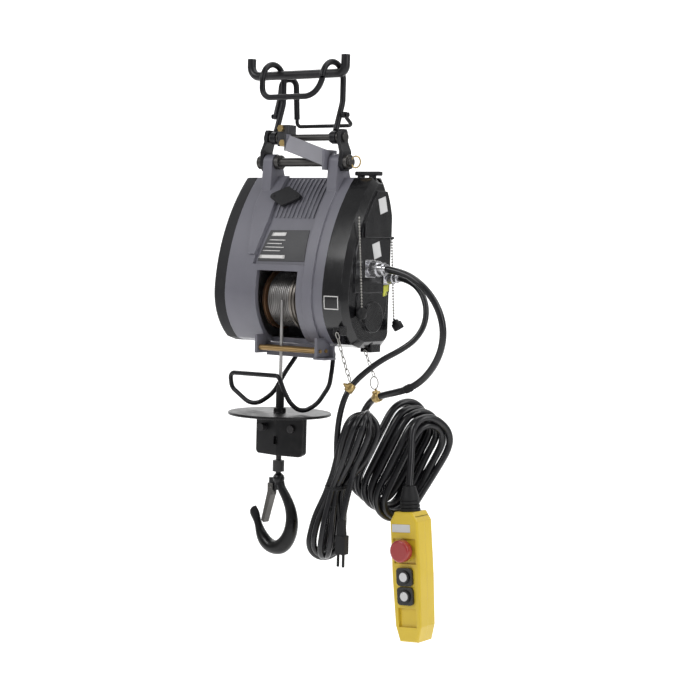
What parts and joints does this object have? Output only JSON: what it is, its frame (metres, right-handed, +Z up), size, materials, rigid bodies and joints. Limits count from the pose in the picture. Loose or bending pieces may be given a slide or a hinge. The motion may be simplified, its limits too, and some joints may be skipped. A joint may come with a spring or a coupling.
{
  "type": "portable electric wire rope hoist",
  "caption": "Hanging electric wire rope hoist: pipe hook, link frame, motor and drum casing, limit lever, stopper disc, swivel load hook and corded hand control.",
  "frame": {"origin": "middle of the round hanging bar that carries the hoist, where a sling or pipe support holds it", "axes": "+Z up; +X along the hanging bar towards the cable end; -Y towards the rope side, so the drum window faces -Y"},
  "size_m": [0.3748, 0.1998, 0.8236],
  "materials": {
    "yoke_grey": "satin",
    "dark_steel": "satin",
    "zinc_steel": "satin",
    "casing_grey": "textured",
    "cover_black": "gloss",
    "label_dark": "satin",
    "diamond_grey": "satin",
    "brass": "satin",
    "chrome": "polished",
    "cast_inner": "as cast",
    "gear_steel": "machined",
    "motor_steel": "laminated",
    "inner_plastic": "matt",
    "drum_metal": "satin",
    "wire_rope": "stranded",
    "sleeve_rubber": "matt",
    "disc_steel": "satin",
    "hook_steel": "forged",
    "lever_paint": "satin",
    "cable_black": "gloss",
    "boot_rubber": "matt",
    "pendant_yellow": "satin",
    "button_red": "gloss",
    "bezel_black": "gloss",
    "button_silver": "satin"
  },
  "bodies": {
    "yoke": {"hanging_yoke": "yoke_grey"},
    "hook_hanger": {"pipe_hook": "yoke_grey"},
    "bail": {"safety_bail": "dark_steel"},
    "link_frame": {"link_plates": "yoke_grey", "upper_cross_rod": "zinc_steel", "lower_pivot_bar": "zinc_steel", "brace_plate": "yoke_grey", "link_fasteners": "zinc_steel"},
    "casing": {"main_casing": "casing_grey", "left_end_cover": "cover_black", "right_end_cover": "cover_black", "cover_screws": "zinc_steel", "blank_labels": "label_dark", "diamond_cover": "diamond_grey", "rope_guide_bracket": "yoke_grey", "rope_guide_rods": "brass", "carry_handle": "cover_black", "bearing_plate": "cast_inner", "gearbox_plates": "cast_inner", "bearings": "gear_steel", "motor_stator": "motor_steel", "brake_coil": "motor_steel", "contactor": "inner_plastic", "limit_switch": "inner_plastic", "panel_sockets": "chrome", "cable_connectors": "chrome", "bead_chains": "chrome", "power_cord": "cable_black", "power_cord_hank": "cable_black", "power_plug": "bezel_black", "pendant_cord": "cable_black", "pendant_cord_coil": "cable_black", "cord_hangers": "brass", "pendant_front": "pendant_yellow", "pendant_back": "pendant_yellow", "pendant_boot": "boot_rubber", "button_bezels": "bezel_black", "switch_block": "inner_plastic", "wire_rope": "wire_rope"},
    "rotor": {"motor_rotor": "motor_steel", "motor_shaft": "gear_steel", "cooling_fan": "inner_plastic", "brake_disc": "gear_steel"},
    "layshaft": {"layshaft_gear": "gear_steel"},
    "drum": {"rope_drum": "drum_metal", "drum_gear": "gear_steel", "drum_shaft": "gear_steel", "drum_rope": "wire_rope"},
    "hook_block": {"rope_sleeve": "sleeve_rubber", "stopper_disc": "disc_steel", "counterweight": "dark_steel", "swivel_stem": "dark_steel"},
    "load_hook": {"load_hook": "hook_steel"},
    "latch": {"hook_latch": "zinc_steel"},
    "limit_lever": {"limit_lever": "lever_paint"},
    "e_stop": {"e_stop_button": "button_red"},
    "up_button": {"up_button": "button_silver"},
    "down_button": {"down_button": "button_silver"}
  },
  "joints": [
    {"name": "hook_swing", "type": "hinge", "parent": "yoke", "child": "hook_hanger", "pos_m": [0, 0, 0], "axis": [1, 0, 0], "range_deg": [-35, 35]},
    {"name": "bail_swing", "type": "hinge", "parent": "hook_hanger", "child": "bail", "pos_m": [0, 0.009, -0.059], "axis": [1, 0, 0], "range_deg": [-25, 0], "stiffness_Nm_per_rad": 0.4, "springref_deg": 5.73},
    {"name": "link_pivot", "type": "hinge", "parent": "hook_hanger", "child": "link_frame", "pos_m": [0, 0, -0.0915], "axis": [1, 0, 0], "range_deg": [-20, 20]},
    {"name": "body_pivot", "type": "hinge", "parent": "link_frame", "child": "casing", "pos_m": [0, 0, -0.127], "axis": [1, 0, 0], "range_deg": [-12, 12]},
    {"name": "rotor_spin", "type": "hinge", "parent": "casing", "child": "rotor", "pos_m": [0, 0.005, -0.24], "axis": [1, 0, 0], "range_deg": [0, 4837]},
    {"name": "layshaft_spin", "type": "hinge", "parent": "casing", "child": "layshaft", "pos_m": [0, 0.00522, -0.275], "axis": [1, 0, 0], "range_deg": [-1319, 0]},
    {"name": "drum_spin", "type": "hinge", "parent": "casing", "child": "drum", "pos_m": [0, -0.002, -0.327], "axis": [1, 0, 0], "range_deg": [0, 332]},
    {"name": "hook_travel", "type": "slide", "parent": "casing", "child": "hook_block", "axis": [0, 0, 1], "range_m": [-0.25, 0], "deforming": ["wire_rope"]},
    {"name": "hook_swivel", "type": "hinge", "parent": "hook_block", "child": "load_hook", "pos_m": [0, -0.0455, -0.57], "axis": [0, 0, 1], "continuous": true},
    {"name": "latch_pivot", "type": "hinge", "parent": "load_hook", "child": "latch", "pos_m": [-0.0105, -0.0455, -0.599], "axis": [0, 1, 0], "range_deg": [-30, 0], "stiffness_Nm_per_rad": 0.15, "springref_deg": 20.05},
    {"name": "limit_lever_tip", "type": "hinge", "parent": "casing", "child": "limit_lever", "pos_m": [0, 0, -0.399], "axis": [1, 0, 0], "range_deg": [-4, 0], "stiffness_Nm_per_rad": 2, "springref_deg": 5.73},
    {"name": "e_stop_press", "type": "slide", "parent": "casing", "child": "e_stop", "axis": [0, 1, 0], "range_m": [0, 0.003], "stiffness_N_per_m": 600},
    {"name": "up_press", "type": "slide", "parent": "casing", "child": "up_button", "axis": [0, 1, 0], "range_m": [0, 0.003], "stiffness_N_per_m": 400},
    {"name": "down_press", "type": "slide", "parent": "casing", "child": "down_button", "axis": [0, 1, 0], "range_m": [0, 0.003], "stiffness_N_per_m": 400}
  ],
  "couplings": [
    {"joint": "rotor_spin", "follows": "hook_travel", "rad_per_m": -337.16},
    {"joint": "layshaft_spin", "follows": "hook_travel", "rad_per_m": 91.954},
    {"joint": "drum_spin", "follows": "hook_travel", "rad_per_m": -22.989}
  ]
}
